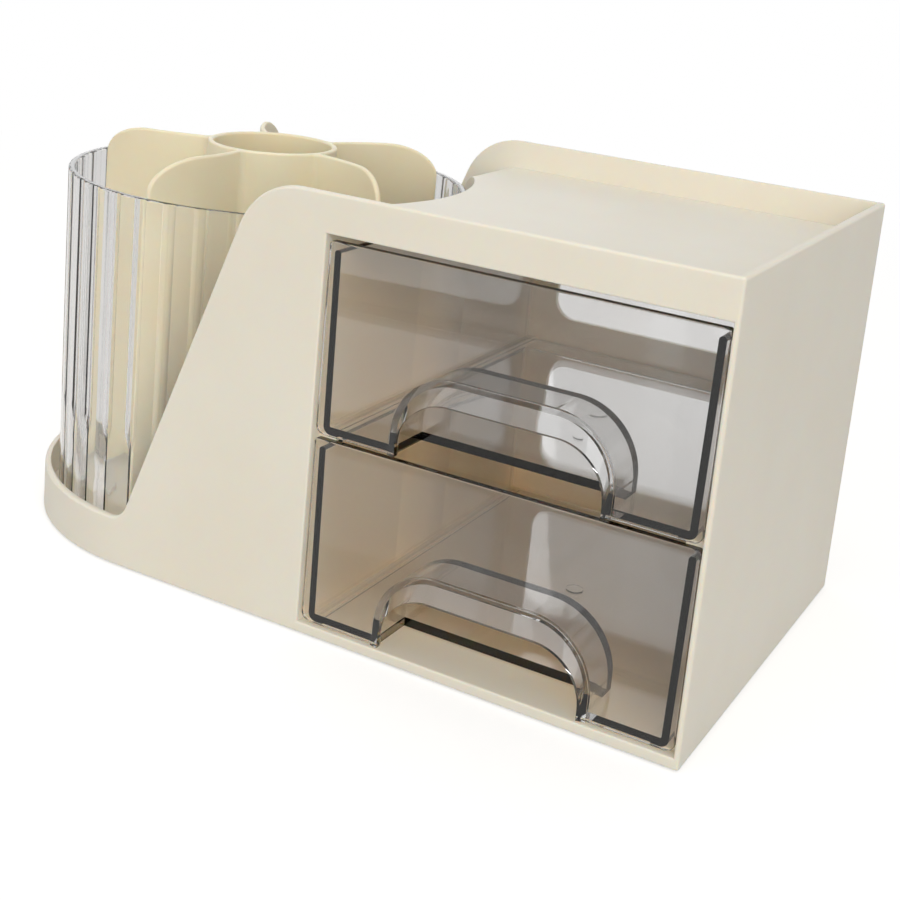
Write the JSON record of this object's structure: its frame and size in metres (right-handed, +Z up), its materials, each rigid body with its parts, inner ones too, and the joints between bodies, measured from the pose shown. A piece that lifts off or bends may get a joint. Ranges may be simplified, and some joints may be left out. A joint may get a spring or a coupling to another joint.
{
  "type": "desk organizer with two drawers and a turning pen cup",
  "caption": "Desk organizer body with a rimmed top tray, two clear pull-out drawers with arched finger grips, and a turning fluted clear cup that holds a lift-out pinwheel divider.",
  "frame": {"origin": "centre of the footprint, at the level of the surface that the feet stand on", "axes": "+X along the length towards the drawers, +Y to the rear, +Z up"},
  "size_m": [0.2444, 0.1334, 0.125],
  "materials": {
    "body_plastic": "satin cream",
    "divider_plastic": "satin cream",
    "drawer_plastic": "polished smoke grey, see-through",
    "cup_plastic": "polished clear",
    "steel": "zinc-plated",
    "cage_plastic": "natural white",
    "foot_rubber": "soft black"
  },
  "bodies": {
    "housing_body": {"housing": "body_plastic", "pivot_washer": "steel", "pivot_screw": "steel", "foot_front_right": "foot_rubber", "foot_rear_right": "foot_rubber", "foot_front_left": "foot_rubber", "foot_rear_left": "foot_rubber"},
    "upper_drawer_body": {"upper_drawer": "drawer_plastic"},
    "lower_drawer_body": {"lower_drawer": "drawer_plastic"},
    "cup_body": {"pen_cup": "cup_plastic"},
    "divider_body": {"divider_insert": "divider_plastic"},
    "ball_ring_body": {"ball_cage": "cage_plastic", "bearing_balls": "steel"}
  },
  "joints": [
    {"name": "upper_drawer_slide", "type": "slide", "parent": "housing_body", "child": "upper_drawer_body", "axis": [0, -1, 0], "range_m": [0, 0.105]},
    {"name": "lower_drawer_slide", "type": "slide", "parent": "housing_body", "child": "lower_drawer_body", "axis": [0, -1, 0], "range_m": [0, 0.105]},
    {"name": "cup_spin", "type": "hinge", "parent": "housing_body", "child": "cup_body", "pos_m": [-0.0555, 0, 0], "axis": [0, 0, 1], "continuous": true},
    {"name": "ball_ring_spin", "type": "hinge", "parent": "housing_body", "child": "ball_ring_body", "pos_m": [-0.0555, 0, 0], "axis": [0, 0, 1], "continuous": true},
    {"name": "divider_lift", "type": "slide", "parent": "cup_body", "child": "divider_body", "axis": [0, 0, 1], "range_m": [0, 0.115]}
  ],
  "couplings": [
    {"joint": "ball_ring_spin", "follows": "cup_spin", "ratio": 0.5}
  ]
}
